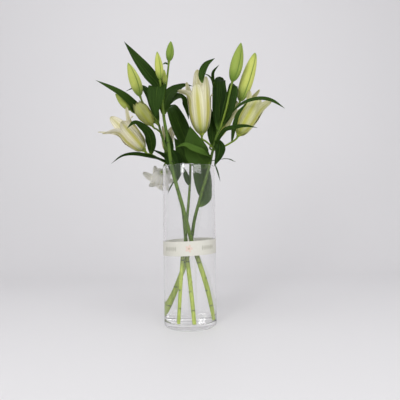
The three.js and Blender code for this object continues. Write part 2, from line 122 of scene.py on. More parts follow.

# Each lily has the path of its stem, its leaves, and its buds and blooms with the way of their
# stalks. A leaf or stalk starts at a height on the stem, and a leaf that starts elsewhere has a root
# of its own. Tips are how far from its axis, and at which share of its length, each petal of a bloom
# ends. Pale is how much painted light a stem takes under water, which makes it paler and yellower,
# tone how light a leaf or how green a bud or bloom is, and faded how white a bloom is, all from 0 to 1.
LILY_1 = dict(
    name="leafy_stem_1", radius=5.3, pale=0.8,
    path=[[51, -12, 15], [34, -16, 102], [5, -22, 214], [-16, -27, 300], [-41, -38, 400], [-49, -38, 462],
          [-58, -38, 516], [-62, -38, 566]],
    leaves=[
        dict(at=552, width=31, path=[[-70, -44, 596], [-90, -50, 620], [-118, -54, 656], [-153, -48, 705]]),
        dict(root=[-61, -40, 560], width=44, face=[0, 0, 1],
             path=[[-66, -46, 580], [-70, -55, 590], [-72, -66, 575], [-73, -80, 543], [-72, -92, 504]]),
        dict(root=[-46, -38, 650], width=5, path=[[-52, -41, 652], [-60, -44, 648]]),
        dict(at=524, width=30, path=[[-52, -14, 574], [-32, 26, 608], [-8, 56, 628], [13, 68, 628]]),
        dict(at=524, width=34, face=[0, -0.8, 0.6],
             path=[[-56, -22, 553], [-45, -6, 573], [-30, 10, 583], [-17, 22, 583], [-5, 34, 566],
                   [1, 40, 530]]),
    ],
    buds=[
        dict(name="bud_1", at=556, radius=10, tone=0.8,
             via=[[-52, -38, 596], [-48, -38, 623]], base=[-44, -38, 658], tip=[-39, -34, 710]),
        dict(name="bud_2", at=556, radius=10,
             via=[[-63, -54, 581]], base=[-64, -66, 603], tip=[-69, -80, 666]),
        dict(name="bud_3", at=556, radius=6.2, tone=0.3, via=[], base=[-56, -48, 597], tip=[-55, -54, 632]),
    ],
    blooms=[],
)
LILY_2 = dict(
    name="leafy_stem_2", radius=4.6, pale=0.9,
    path=[[10, -55, 15], [-9, 9, 205], [-19, 26, 300], [-45.5, 32, 400], [-52, 34, 425], [-62, 36, 458],
          [-73, 35, 496], [-80, 27, 526]],
    leaves=[
        dict(at=518, width=28, face=[0, -0.9, 0.5],
             path=[[-108, 20, 532], [-131, 14, 549], [-140, 4, 562], [-175, -26, 588], [-226, -40, 613]]),
        dict(at=410, width=16, face=[0, -1, 0.7],
             path=[[-66, 28, 419], [-94, -6, 425], [-127, -30, 429], [-160, -42, 424], [-187, -48, 404]]),
        dict(at=420, width=12, face=[0, -1, 0.8], path=[[-72, 52, 440], [-101, 60, 455]]),
        dict(at=450, width=42, path=[[-40, 18, 420], [-32, 9, 390], [-36, 7, 352]]),
        dict(root=[-38, 10, 364], width=4, path=[[-47, 7, 349], [-55, 4, 331]]),
        dict(at=520, width=24, face=[0, -0.8, 0.6],
             path=[[-92, 40, 566], [-102, 46, 596], [-122, 46, 619], [-148, 48, 618], [-168, 50, 611]]),
        dict(at=428, width=26, path=[[-54, 62, 466], [-60, 62, 512]]),
        dict(root=[-96, 4, 433], width=27, face=[0, -1, 0.35],
             path=[[-92, -20, 456], [-96, -46, 476], [-109, -66, 490], [-124, -82, 496], [-140, -94, 480]]),
    ],
    buds=[
        dict(name="bud_4", at=518, radius=15, tone=0.12,
             via=[[-99, 18, 546], [-116, 8, 568]], base=[-122, 2, 583], tip=[-154, 10, 674]),
        dict(name="bud_5", at=512, radius=12, tone=0.3,
             via=[[-94, 20, 527], [-122, 12, 540]], base=[-146, 7, 549], tip=[-184, -6, 588]),
    ],
    blooms=[
        dict(name="bloom_1", at=495, mouth=16, roll=30, tone=0.7,
             via=[[-82, 14, 500]], base=[-91, -4, 506], tip=[-127, -38, 556], tips=[[7, 0.97]]),
        dict(name="bloom_2", at=412, mouth=25, roll=45, open=True,
             via=[[-66, 34, 418], [-92, 6, 431]], base=[-110, -10, 440], tip=[-180, -44, 520],
             tips=[[48, 1], [46, 1.05], [58, 1], [60, 0.9], [34, 0.84], [38, 0.74]]),
        dict(name="bloom_3", at=418, mouth=21, roll=38, open=True, broad=1.5, faded=1,
             via=[[-52, 60, 432], [-68, 68, 411]], base=[-75, 82, 395], tip=[-95, 134, 372],
             tips=[[44, 0.5], [42, 0.55], [46, 0.5], [48, 0.55], [40, 0.6], [42, 0.6]]),
    ],
)
LILY_3 = dict(
    name="leafy_stem_3", radius=4, pale=1,
    path=[[-26, -46, 15], [-11.5, -7, 205], [1, 22, 341], [4, 36, 408], [4, 44, 448], [-4, 52, 488]],
    leaves=[
        dict(at=440, width=45,
             path=[[-7, 50, 474], [-19, 54, 505], [-32, 58, 538], [-45, 68, 568], [-52, 94, 576],
                   [-55, 122, 562]]),
        dict(at=412, width=34, path=[[-13, 50, 432], [-26, 56, 462], [-40, 58, 486]]),
        dict(at=352, width=15, path=[[-7, 16, 377], [-15, 12, 403]]),
    ],
    buds=[],
    blooms=[
        dict(name="bloom_7", at=440, mouth=15, roll=0,
             via=[[-30, 72, 440]], base=[-65, 92, 455], tip=[-59, 102, 518], tips=[[25, 1]]),
    ],
)
LILY_4 = dict(
    name="leafy_stem_4", radius=4.6, pale=0.6,
    path=[[-43, 33, 15], [-19, 26, 112], [4, 14, 211], [13, 9, 263], [27, 3, 314], [54, -4, 403],
          [60, -3, 430], [66, 0, 452], [74, 4, 480], [85, 8, 502]],
    leaves=[
        dict(at=492, width=40, tone=0,
             path=[[81, 16, 532], [84, 24, 575], [83, 24, 618], [89, 48, 638], [94, 74, 632],
                   [97, 94, 615]]),
        dict(at=498, width=30,
             path=[[98, 6, 530], [108, 4, 560], [116, 4, 592], [119, 14, 611], [127, 44, 613],
                   [132, 66, 598]]),
        dict(at=480, width=13,
             path=[[80, 30, 550], [76, 30, 590], [68, 14, 616], [56, -16, 626], [36, -48, 625]]),
        dict(root=[38, -46, 600], width=18,
             path=[[36, -44, 615], [39, -40, 631], [49, -36, 650], [71, -26, 669]]),
        dict(root=[68, 10, 616], width=8, path=[[66, -4, 639], [82, -4, 660]]),
        dict(root=[92, 8, 512], width=12, early=1.8, face=[0, -1, 0.5],
             path=[[124, -36, 541], [146, -50, 552], [178, -58, 556], [206, -62, 549], [235, -66, 529]]),
        dict(root=[110, -12, 459], width=14, face=[0.5, -1, 0.3],
             path=[[114, -34, 490], [124, -46, 522], [149, -50, 551]]),
        dict(at=438, width=13, early=1.2, face=[0, -1, 0.35],
             path=[[90, -42, 482], [115, -58, 487], [139, -66, 488], [168, -68, 483]]),
        dict(at=424, width=20, tone=0.8, face=[0, -0.9, 0.5],
             path=[[36, -30, 432], [12, -40, 441], [-7, -42, 449], [-33, -38, 442]]),
        dict(at=400, width=60, tone=0.35, path=[[27, -16, 422], [14, -24, 455], [6, -26, 498]]),
        dict(at=470, width=28, face=[0.3, -1, 0.2], path=[[79, -16, 451], [75, -44, 422], [63, -62, 392]]),
        dict(root=[65, -60, 398], width=3.6, path=[[71, -66, 379], [77, -70, 355]]),
        dict(at=448, width=27, path=[[63, 16, 483], [62, 24, 511], [58, 30, 545], [56, 34, 572]]),
        dict(at=412, width=14, face=[0, -0.25, 1], path=[[76, -40, 411], [95, -66, 409], [112, -90, 399]]),
        dict(at=298, width=46, early=0.95,
             path=[[34, 6, 307], [43, 9, 322], [40, 10, 341], [36, 10, 368], [32, 8, 400], [38, 0, 470]]),
    ],
    buds=[
        dict(name="bud_6", at=498, radius=16.5, tone=0.62,
             via=[[98, -3, 545], [108, -5, 588]], base=[116, 6, 619], tip=[141, 12, 723]),
        dict(name="bud_7", at=496, radius=17.5, fullness=0.5,
             via=[[109, 24, 539]], base=[138, 36, 577], tip=[184, 60, 714]),
    ],
    blooms=[
        dict(name="bloom_4", at=446, mouth=28, roll=23, open=True, tone=0.1,
             via=[[46, -6, 462]], base=[35, -6, 478], tip=[26, -8, 619],
             tips=[[38, 0.75], [14, 1.23], [32, 1.03], [56, 0.8], [30, 0.88], [28, 1.02]]),
        dict(name="bloom_5", at=440, mouth=23, roll=25, open=True, tone=0.4,
             via=[[88, -6, 448], [109, -12, 458]], base=[126, -14, 474], tip=[186, 0, 577],
             tips=[[24, 1], [16, 1.02], [10, 1.16], [34, 0.95], [24, 0.88], [37, 0.96]]),
        dict(name="bloom_6", at=440, mouth=20, roll=0, tone=0.3,
             via=[[56, 30, 452]], base=[66, 48, 474], tip=[119, 72, 583], tips=[[28, 0.98]]),
    ],
)
BOUQUET = [LILY_1, LILY_2, LILY_3, LILY_4]

# Camera, lamps and backdrop, in metres, degrees and watts.
EYE = dict(place=(0.028, -1.035, 0.282), tilt=1.77, roll=-0.83, lens=36.6, sensor=36)
SOFTBOXES = dict(
    softbox_left=dict(azimuth=-26, distance=2.2, height=1.24, size=(0.6, 1.3), power=20),
    softbox_right=dict(azimuth=39, distance=2.2, height=1.24, size=(1.4, 1.3), power=20),
)
OVERHEAD = dict(place=(-0.35, -0.9, 2.5), tilt=22, size=(1.8, 1.8), power=14)
SKY_LIGHT = dict(tint=(0.71, 0.705, 0.72, 1), strength=0.7)
SWEEP = dict(
    front=-6, reach=6, depth=1.6, bend=0.9, bend_steps=24, tall=4,
    tint=(0.79, 0.782, 0.795, 1), roughness=0.6,
)


# -------- camera, light and stage

def link(name, data):
    """An object with its data, in the scene."""
    made = bpy.data.objects.new(name, data)
    bpy.context.scene.collection.objects.link(made)
    return made


def camera():
    """The camera in front of the vase, lower than its lip, looking slightly up."""
    data = bpy.data.cameras.new("camera")
    data.sensor_width = EYE["sensor"]
    data.lens = EYE["lens"]
    eye = link("camera", data)
    level = Matrix.Rotation(math.radians(90 + EYE["tilt"]), 4, "X")
    roll = Matrix.Rotation(math.radians(EYE["roll"]), 4, "Z")
    eye.matrix_world = Matrix.Translation(EYE["place"]) @ level @ roll
    bpy.context.scene.camera = eye


def area_lamp(name, shape, size, power):
    """A soft lamp, to be put in its place."""
    data = bpy.data.lights.new(name, "AREA")
    data.shape = shape
    data.size, data.size_y = size
    data.energy = power
    return link(name, data)


def lights():
    """Two upright softboxes that face the vase from the front, turned by an azimuth to the right,
    and a round lamp overhead."""
    for name, box in SOFTBOXES.items():
        lamp = area_lamp(name, "RECTANGLE", box["size"], box["power"])
        turn, away = math.radians(box["azimuth"]), box["distance"]
        lamp.location = (math.sin(turn) * away, -math.cos(turn) * away, box["height"])
        lamp.rotation_euler = (math.pi / 2, 0, turn)
    lamp = area_lamp("overhead", "DISK", OVERHEAD["size"], OVERHEAD["power"])
    lamp.location = OVERHEAD["place"]
    lamp.rotation_euler = (math.radians(OVERHEAD["tilt"]), 0, 0)


def world():
    """Even soft light from all round."""
    shade = bpy.data.worlds.new("studio")
    shade.use_nodes = True
    sky = shade.node_tree.nodes["Background"]
    sky.inputs["Color"].default_value = SKY_LIGHT["tint"]
    sky.inputs["Strength"].default_value = SKY_LIGHT["strength"]
    bpy.context.scene.world = shade
    bpy.context.scene.view_settings.view_transform = "Standard"


def backdrop():
    """A pale floor that sweeps up to a wall behind the vase."""
    depth, bend, steps = SWEEP["depth"], SWEEP["bend"], SWEEP["bend_steps"]
    turns = [math.pi / 2 * step / steps for step in range(1, steps + 1)]
    curve = [(depth - bend + bend * math.sin(turn), bend - bend * math.cos(turn)) for turn in turns]
    profile = [(SWEEP["front"], 0), (depth - bend, 0), *curve, (depth, SWEEP["tall"])]
    points = [(x, y, z) for y, z in profile for x in (-SWEEP["reach"], SWEEP["reach"])]
    faces = [(2 * i, 2 * i + 1, 2 * i + 3, 2 * i + 2) for i in range(len(profile) - 1)]
    mesh = bpy.data.meshes.new("backdrop")
    mesh.from_pydata(points, [], faces)
    mesh.polygons.foreach_set("use_smooth", [True] * len(faces))
    sweep = link("backdrop", mesh)
    nodes = Nodes("backdrop")
    mesh.materials.append(nodes.finish(nodes.body(SWEEP["tint"], SWEEP["roughness"])))


# -------- node trees

class Nodes:
    """The nodes of a new material. A value is a number, a colour or another node's socket."""

    def __init__(self, name):
        self.material = bpy.data.materials.new(name)
        self.material.use_nodes = True
        self.tree = self.material.node_tree
        self.tree.nodes.clear()

    def add(self, kind, inputs=None, out=0, **settings):
        """Adds a node with its inputs and settings, and gives one of its outputs."""
        made = self.tree.nodes.new("ShaderNode" + kind)
        for name, value in settings.items():
            setattr(made, name, value)
        for name, value in (inputs or {}).items():
            socket = made.inputs[name]
            if isinstance(value, bpy.types.NodeSocket):
                self.tree.links.new(value, socket)
            else:
                socket.default_value = value
        return made.outputs[out] if made.outputs else None

    def finish(self, shader):
        """The material, with shader as its surface."""
        self.add("OutputMaterial", {"Surface": shader})
        return self.material

    def marks(self, *names):
        """A piece's own measures, such as how far along a leaf a point is."""
        return [self.add("Attribute", attribute_name=name, out="Fac") for name in names]

    def place(self):
        """The place of a point in its own piece, in metres."""
        return self.add("TexCoord", out="Object")

    def math(self, operation, *values):
        return self.add("Math", dict(enumerate(values)), operation=operation)

    times = partialmethod(math, "MULTIPLY")
    plus = partialmethod(math, "ADD")
    minus = partialmethod(math, "SUBTRACT")
    size = partialmethod(math, "ABSOLUTE")
    wave = partialmethod(math, "SINE")

    def ramp(self, value, low, high, start=0.0, end=1.0):
        """Goes smoothly from start to end as value goes from low to high."""
        numbers = {"Value": value, "From Min": low, "From Max": high, "To Min": start, "To Max": end}
        return self.add("MapRange", numbers, interpolation_type="SMOOTHSTEP")

    def mix(self, share, first, second):
        """A share of the second colour over the first. A Mix node has colours at places 6, 7 and 2."""
        return self.add("Mix", {0: share, 6: first, 7: second}, out=2, data_type="RGBA")

    def noise(self, scale, detail=3, vector=None):
        """Soft noise with about scale patches to the metre, or to one step of vector."""
        inputs = {"Vector": vector or self.place(), "Scale": scale, "Detail": detail}
        return self.add("TexNoise", inputs)

    def bump(self, height, distance):
        """A relief that rises by distance, in metres, where height goes from 0 to 1."""
        return self.add("Bump", {"Height": height, "Distance": distance})

    def body(self, skin, roughness, **others):
        """A principled shader. An underscore in the name of another input stands for a space."""
        inputs = {name.replace("_", " "): value for name, value in others.items()}
        return self.add("BsdfPrincipled", {"Base Color": skin, "Roughness": roughness, **inputs})

    def thin(self, body, lit, share):
        """A shader mixed with a share of light that comes through from behind."""
        through = self.add("BsdfTranslucent", {"Color": lit})
        return self.add("MixShader", {0: share, 1: body, 2: through})


def palette(**colours):
    """Colours for nodes, by name, from how red, green and blue look on screen, from 0 to 255."""
    linear = {name: [((c / 255 + 0.055) / 1.055) ** 2.4 for c in rgb] for name, rgb in colours.items()}
    return SimpleNamespace(**{name: (*rgb, 1) for name, rgb in linear.items()})


# -------- materials

def clear_material(name, ior, tint):
    """Clear glass or water. Lamps and soft light shine through it without a caustic."""
    nodes = Nodes(name)
    glass = nodes.body(tint, 0, IOR=ior, Transmission_Weight=1, Specular_IOR_Level=0.14)
    passing = nodes.add("BsdfTransparent", {"Color": (0.99, 0.99, 0.99, 1)})
    rays = [nodes.add("LightPath", out=kind) for kind in ("Is Shadow Ray", "Is Diffuse Ray")]
    lighting = nodes.math("MAXIMUM", *rays)
    return nodes.finish(nodes.add("MixShader", {0: lighting, 1: glass, 2: passing}))


def leaf_material():
    """Dark waxy leaf: a fine midrib, parallel veins, long paler streaks of painted sheen and a lighter
    underside. Tone is how light a leaf is."""
    hues = palette(
        deep=(12, 30, 3), fresh=(26, 50, 9), light=(82, 112, 44), under=(52, 76, 20), bright=(70, 94, 30),
        streak=(58, 86, 34), vein=(78, 108, 36), rib=(86, 114, 44), foot=(112, 142, 60),
        glow=(130, 160, 30),
    )
    nodes = Nodes("leaf_green")
    along, across, side, tone = nodes.marks("along", "across", "side", "tone")
    cloud = nodes.noise(38)
    upper = nodes.mix(tone, nodes.mix(cloud, hues.deep, hues.fresh), hues.light)
    skin = nodes.mix(side, upper, nodes.mix(cloud, hues.under, hues.bright))
    # Long paler streaks along the leaf are painted sheen.
    stretched = {"X": nodes.times(across, 2.6), "Y": nodes.times(along, 0.9), "Z": nodes.times(tone, 40)}
    streak = nodes.noise(1.6, vector=nodes.add("CombineXYZ", stretched))
    skin = nodes.mix(nodes.ramp(streak, 0.45, 0.72, 0, 0.5), skin, hues.streak)
    veins = nodes.wave(nodes.times(across, 40))
    skin = nodes.mix(nodes.ramp(veins, 0.2, 1, 0, 0.2), skin, hues.vein)
    fine = nodes.ramp(nodes.size(across), 0.015, 0.06, 1, 0)
    rib = nodes.times(fine, nodes.ramp(along, 0.25, 0.85, 0.4, 0))
    skin = nodes.mix(rib, skin, hues.rib)
    skin = nodes.mix(nodes.ramp(along, 0, 0.12, 0.5, 0), skin, hues.foot)
    relief = nodes.plus(nodes.times(veins, 0.35), nodes.times(rib, -1.2))
    roughness = nodes.ramp(nodes.noise(90), 0.3, 0.7, 0.4, 0.54)
    body = nodes.body(skin, roughness, Specular_IOR_Level=0.05, Normal=nodes.bump(relief, 0.00025))
    return nodes.finish(nodes.thin(body, nodes.mix(0.5, skin, hues.glow), 0.1))


def stem_material():
    """Smooth green stem with long streaks and dark leaf scars. Under water it is painted paler and
    yellower: painted light, which the water gathers there. Across is how deep in a scar a point is,
    and tone is how much of that painted light it takes."""
    hues = palette(
        dark=(56, 84, 12), light=(84, 112, 22), worn=(104, 128, 34), scar=(30, 38, 10),
        wet=(142, 164, 48), wet_light=(178, 194, 76),
    )
    nodes = Nodes("stem_green")
    scar, tone = nodes.marks("across", "tone")
    long_grain = nodes.add("Mapping", {"Vector": nodes.place(), "Scale": (260, 260, 9)})
    streak = nodes.noise(1, vector=long_grain)
    share = nodes.ramp(streak, 0.3, 0.7)
    skin = nodes.mix(share, hues.dark, hues.light)
    skin = nodes.mix(nodes.ramp(nodes.noise(22), 0.35, 0.75, 0, 0.35), skin, hues.worn)
    # Painted light under water: where tone says, the stem is painted paler and yellower.
    skin = nodes.mix(tone, skin, nodes.mix(share, hues.wet, hues.wet_light))
    skin = nodes.mix(scar, skin, hues.scar)
    roughness = nodes.ramp(streak, 0.3, 0.7, 0.4, 0.54)
    relief = nodes.bump(streak, 0.0002)
    return nodes.finish(nodes.body(skin, roughness, Specular_IOR_Level=0.3, Normal=relief))


def petal_material():
    """Cream petals: green-yellow midribs, green at the foot, fine long veins, and soft folds with
    painted shade in their creases. Tone is how green a bloom is, and turn is how faded."""
    hues = palette(
        pale=(252, 249, 234), warm=(242, 235, 202), vein=(208, 198, 136), fold=(204, 194, 150),
        flush=(212, 206, 116), rib=(196, 190, 84), foot=(134, 156, 44), green=(184, 194, 74),
        tip=(200, 194, 112), faded=(253, 252, 248), faded_fold=(242, 239, 222),
    )
    nodes = Nodes("petal_cream")
    along, across, side, tone, fading = nodes.marks("along", "across", "side", "tone", "turn")
    middle = nodes.size(across)
    cloud = nodes.noise(30)
    skin = nodes.mix(cloud, hues.pale, hues.warm)
    veins = nodes.wave(nodes.plus(nodes.times(across, 62), nodes.noise(60)))
    skin = nodes.mix(nodes.ramp(veins, 0.1, 1, 0, 0.34), skin, hues.vein)
    # Soft folds: the bump below shapes them, and the fold colour paints shade in their creases.
    fold = nodes.wave(nodes.plus(nodes.times(middle, 15), nodes.noise(12)))
    skin = nodes.mix(nodes.ramp(fold, 0.2, 1, 0, 0.4), skin, hues.fold)
    flush = nodes.times(nodes.ramp(middle, 0.1, 0.8, 1, 0), nodes.ramp(along, 0.35, 1, 0.5, 0.12))
    skin = nodes.mix(flush, skin, hues.flush)
    rib = nodes.times(nodes.ramp(middle, 0.08, 0.42, 1, 0), nodes.ramp(along, 0.55, 1, 0.8, 0.15))
    skin = nodes.mix(rib, skin, hues.rib)
    reach = nodes.plus(along, nodes.times(cloud, 0.06))
    foot = nodes.times(nodes.ramp(reach, 0.06, 0.5, 0.9, 0), nodes.ramp(side, 0, 1, 1, 0.35))
    skin = nodes.mix(foot, skin, hues.foot)
    skin = nodes.mix(tone, skin, hues.green)
    skin = nodes.mix(nodes.ramp(along, 0.93, 1, 0, 0.5), skin, hues.tip)
    # A faded bloom is painted whiter, and keeps painted shade in its folds.
    skin = nodes.mix(fading, skin, nodes.mix(fold, hues.faded, hues.faded_fold))
    relief = nodes.plus(nodes.times(veins, 0.4), rib)
    relief = nodes.minus(relief, nodes.times(fold, 1.4))
    roughness = nodes.ramp(cloud, 0.3, 0.7, 0.44, 0.58)
    body = nodes.body(skin, roughness, Specular_IOR_Level=0.3, Normal=nodes.bump(relief, 0.0004))
    return nodes.finish(nodes.thin(body, skin, 0.14))


def bud_material():
    """Yellow-green bud, greener in its seams, at its foot and at its tip. Across is how deep in a
    seam a point is, and turn is how far round from one."""
    hues = palette(
        pale=(186, 196, 88), bright=(208, 212, 118), vein=(150, 170, 62), green=(98, 134, 36),
        seam=(92, 124, 34), foot=(98, 134, 38), tip=(112, 142, 46),
    )
    nodes = Nodes("bud_green")
    along, seam, tone, turn = nodes.marks("along", "across", "tone", "turn")
    cloud = nodes.noise(45)
    skin = nodes.mix(cloud, hues.pale, hues.bright)
    veins = nodes.wave(nodes.times(turn, 30))
    skin = nodes.mix(nodes.ramp(veins, 0, 1, 0, 0.28), skin, hues.vein)
    skin = nodes.mix(tone, skin, hues.green)
    skin = nodes.mix(nodes.ramp(seam, 0.2, 0.9, 0, 0.85), skin, hues.seam)
    skin = nodes.mix(nodes.ramp(along, 0, 0.34, 0.8, 0), skin, hues.foot)
    skin = nodes.mix(nodes.ramp(along, 0.82, 1, 0, 0.7), skin, hues.tip)
    others = dict(Specular_IOR_Level=0.3, Subsurface_Weight=0.08, Subsurface_Radius=(0.004, 0.005, 0.002))
    roughness = nodes.ramp(cloud, 0.3, 0.7, 0.42, 0.54)
    return nodes.finish(nodes.body(skin, roughness, Normal=nodes.bump(veins, 0.0001), **others))


def stamen_material():
    """Pale green filaments and style, with yellow-green anthers. Tone is 1 on an anther."""
    hues = palette(foot=(170, 186, 84), top=(222, 222, 160), dust=(148, 140, 60), pollen=(186, 176, 88))
    nodes = Nodes("stamen_pale")
    along, ripe = nodes.marks("along", "tone")
    grain = nodes.noise(420)
    pale = nodes.mix(nodes.ramp(along, 0, 0.8), hues.foot, hues.top)
    skin = nodes.mix(ripe, pale, nodes.mix(grain, hues.dust, hues.pollen))
    roughness = nodes.ramp(ripe, 0, 1, 0.42, 0.85)
    return nodes.finish(nodes.body(skin, roughness, Normal=nodes.bump(grain, 0.0002)))


def paper_material():
    """Cream paper with a fine fibre, a faint five-petalled flower at its front and a grey leaf
    sprig on either side. Turn is the way round the band and across the height, in millimetres."""
    hues = palette(
        cream=(206, 204, 193), light=(214, 213, 204), fibre=(196, 194, 178), petal=(222, 176, 160),
        eye=(150, 148, 96), sprig=(150, 150, 132),
    )
    nodes = Nodes("band_paper")
    turn, rise = nodes.marks("turn", "across")
    fibre = nodes.noise(520, detail=5)
    skin = nodes.mix(nodes.noise(26), hues.cream, hues.light)
    skin = nodes.mix(nodes.ramp(fibre, 0.35, 0.75, 0, 0.25), skin, hues.fibre)
    here = nodes.add("CombineXYZ", {"X": turn, "Y": rise})
    far = nodes.add("VectorMath", {0: here}, out="Value", operation="LENGTH")
    lobe = nodes.size(nodes.math("COSINE", nodes.times(nodes.math("ARCTAN2", rise, turn), 2.5)))
    edge = nodes.plus(nodes.times(lobe, PRINT["petal"]), PRINT["core"])
    skin = nodes.mix(nodes.ramp(nodes.math("DIVIDE", far, edge), 0.85, 1.05, 0.45, 0), skin, hues.petal)
    soft, eye, reach = 0.8, PRINT["eye"], PRINT["sprig_reach"]
    skin = nodes.mix(nodes.ramp(far, eye, eye + soft, 0.6, 0), skin, hues.eye)
    beads = nodes.times(nodes.size(nodes.wave(nodes.times(turn, 0.5))), PRINT["leaf"])
    inside = nodes.minus(beads, nodes.size(rise))
    away = nodes.size(nodes.minus(nodes.size(turn), PRINT["sprig_at"]))
    sprig = nodes.times(nodes.ramp(inside, 0, soft), nodes.ramp(away, reach, reach + soft, 0.5, 0))
    skin = nodes.mix(sprig, skin, hues.sprig)
    roughness = nodes.ramp(fibre, 0.3, 0.7, 0.6, 0.78)
    return nodes.finish(nodes.body(skin, roughness, Normal=nodes.bump(fibre, 0.00006)))


# -------- curves and grids

class Curve:
    """A smooth curve through points, with its place and direction at any share of its length."""

    def __init__(self, points):
        knots = np.array(points, float)
        padded = np.vstack([2 * knots[0] - knots[1], knots, 2 * knots[-1] - knots[-2]])
        share = np.linspace(0, 1, CURVE_STEPS, endpoint=False)[:, None]
        spans = []
        for a, b, c, d in zip(padded, padded[1:], padded[2:], padded[3:]):
            before, here, after = (math.sqrt(np.linalg.norm(q - p)) for p, q in ((a, b), (b, c), (c, d)))
            first = here * ((b - a) / before - (c - a) / (before + here) + (c - b) / here)
            last = here * ((c - b) / here - (d - b) / (here + after) + (d - c) / after)
            spans.append(cubic(b, c, first, last, share)[0])
        self.points = np.vstack([*spans, knots[-1:]])
        steps = np.linalg.norm(np.diff(self.points, axis=0), axis=1)
        self.length = steps.sum()
        self.shares = np.concatenate([[0], np.cumsum(steps)]) / self.length

    def at(self, share):
        return np.stack([np.interp(share, self.shares, self.points[:, k]) for k in range(3)], -1)

    def ahead(self, share, step=0.006):
        return unit(self.at(np.minimum(share + step, 1)) - self.at(np.maximum(share - step, 0)))

    def at_height(self, height):
        return self.at(np.interp(height, self.points[:, 2], self.shares))


def cubic(start, end, first, last, share):
    """Points from start to end that leave along first and arrive along last, and their slopes."""
    bend = 2 * start - 2 * end + first + last
    lean = 3 * end - 3 * start - 2 * first - last
    point = start + share * first + share**2 * lean + share**3 * bend
    return point, first + 2 * share * lean + 3 * share**2 * bend


def spline(knots, along):
    """A plain spline in a plane through knots, and its direction, at shares from 0 to 1."""
    knots = np.array(knots, float)
    padded = np.vstack([knots[:1], knots, knots[-1:]])
    place = np.minimum(along * (len(knots) - 1), len(knots) - 1 - 1e-9)
    span = place.astype(int)
    a, b, c, d = (padded[span + k] for k in range(4))
    point, slope = cubic(b, c, (c - a) / 2, (d - b) / 2, (place - span)[:, None])
    return point, unit(slope)


def unit(vectors):
    """The same directions with length 1."""
    return vectors / np.linalg.norm(vectors, axis=-1, keepdims=True)


def spread_across(columns):
    """Places across a sheet, from -1 at one edge to 1 at the other."""
    return np.linspace(-1, 1, columns + 1)


def spread_round(sides):
    """Even angles round a ring."""
    return np.linspace(0, 2 * math.pi, sides, endpoint=False)


def grid_faces(rows, columns):
    """The quads of a sheet, whose points come row by row."""
    width = columns + 1
    corners = (row * width + column for row in range(rows) for column in range(columns))
    return [(a, a + 1, a + width + 1, a + width) for a in corners]


def ring_faces(steps, sides):
    """The quads between rings of points, from each ring to the next."""
    faces = []
    for row in range(steps):
        for column in range(sides):
            a, b = row * sides + column, row * sides + (column + 1) % sides
            faces.append((a, b, b + sides, a + sides))
    return faces


class Body:
    """Collects the points, faces and marks of one piece, in millimetres."""

    def __init__(self):
        self.points, self.faces, self.skins = [], [], []
        self.marks = {name: [] for name in ("along", "across", "side", "tone", "turn")}
        self.count = 0

    def add(self, points, faces, skin=0, **marks):
        """Points is a grid of points of any shape, and a mark has its shape or is one number."""
        grid = np.asarray(points, float)
        for name, kept in self.marks.items():
            kept.append(np.broadcast_to(marks.get(name, 0.0), grid.shape[:-1]).ravel())
        flat = grid.reshape(-1, 3)
        self.points.append(flat)
        self.faces.extend(tuple(i + self.count for i in face) for face in faces)
        self.skins.extend([skin] * len(faces))
        self.count += len(flat)

    def sheet(self, grid, thickness, skin=0, **marks):
        """A thin sheet about a grid of points, thinner at its edges, with both faces and its rim.
        Its mark side is 0 on the upper face and 1 on the lower one."""
        rows, columns = grid.shape[0] - 1, grid.shape[1] - 1
        normal = unit(np.cross(np.gradient(grid, axis=1), np.gradient(grid, axis=0)))
        edge = 1 - EDGE_THINNING * np.abs(spread_across(columns))[None, :, None] ** 4
        half = normal * edge * thickness / 2
        both = np.stack([grid + half, grid - half])
        side = np.broadcast_to([[[0.0]], [[1.0]]], both.shape[:-1])
        flat = grid.shape[:2]
        full = {name: np.broadcast_to(mark, flat)[None].repeat(2, 0) for name, mark in marks.items()}
        faces = grid_faces(rows, columns)
        width, face = columns + 1, (rows + 1) * (columns + 1)
        under = [tuple(i + face for i in reversed(quad)) for quad in faces]
        rim = [*range(columns), *(row * width + columns for row in range(rows))]
        rim += [*range(face - 1, face - width, -1), *(row * width for row in range(rows, 0, -1))]
        walls = [(a, a + face, b + face, b) for a, b in zip(rim, rim[1:] + rim[:1])]
        self.add(both, [*faces, *under, *walls], skin, side=side, **full)

    def tube(self, rings, **marks):
        """A closed tube through rings of points, [ring, around], with its ends closed."""
        steps, sides = rings.shape[0] - 1, rings.shape[1]
        ends = [tuple(range(sides - 1, -1, -1)), tuple(steps * sides + i for i in range(sides))]
        self.add(rings, [*ring_faces(steps, sides), *ends], **marks)

    def piece(self, node, skins, smooth=True, sharp=50):
        """Makes the object, which stands for a node and takes a slot's finish. Its edges stay
        crisp where faces meet at more than the angle sharp, in degrees."""
        mesh = bpy.data.meshes.new(node)
        points = np.vstack(self.points) * MM
        mesh.from_pydata(points.tolist(), [], self.faces)
        mesh.polygons.foreach_set("use_smooth", [smooth] * len(self.faces))
        mesh.polygons.foreach_set("material_index", self.skins)
        for mark, values in self.marks.items():
            mesh.attributes.new(mark, "FLOAT", "POINT").data.foreach_set("value", np.concatenate(values))
        for skin in skins:
            mesh.materials.append(skin)
        mesh.set_sharp_from_angle(angle=math.radians(sharp))
        made = link(f"{node}_fine", mesh)
        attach(made, "root")
        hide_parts(node)


def rings_along(curve, radius, sides, shares):
    """Rings of points round a curve, that turn with it as little as they can. Radius is one
    number, one for each ring, or one for each point."""
    centres, ahead = curve.at(shares), curve.ahead(shares)
    off_axis = [0.3, 1, 0.1]
    across = unit(np.cross(ahead[0], off_axis))
    angle = spread_round(sides)
    radii = np.reshape(radius, (-1, 1)) if np.ndim(radius) == 1 else radius
    rings = []
    for centre, way, size in zip(centres, ahead, np.broadcast_to(radii, (len(shares), sides))):
        across = unit(across - way * (across @ way))
        up = np.cross(way, across)
        ring = np.cos(angle)[:, None] * across + np.sin(angle)[:, None] * up
        rings.append(centre + size[:, None] * ring)
    return np.array(rings)


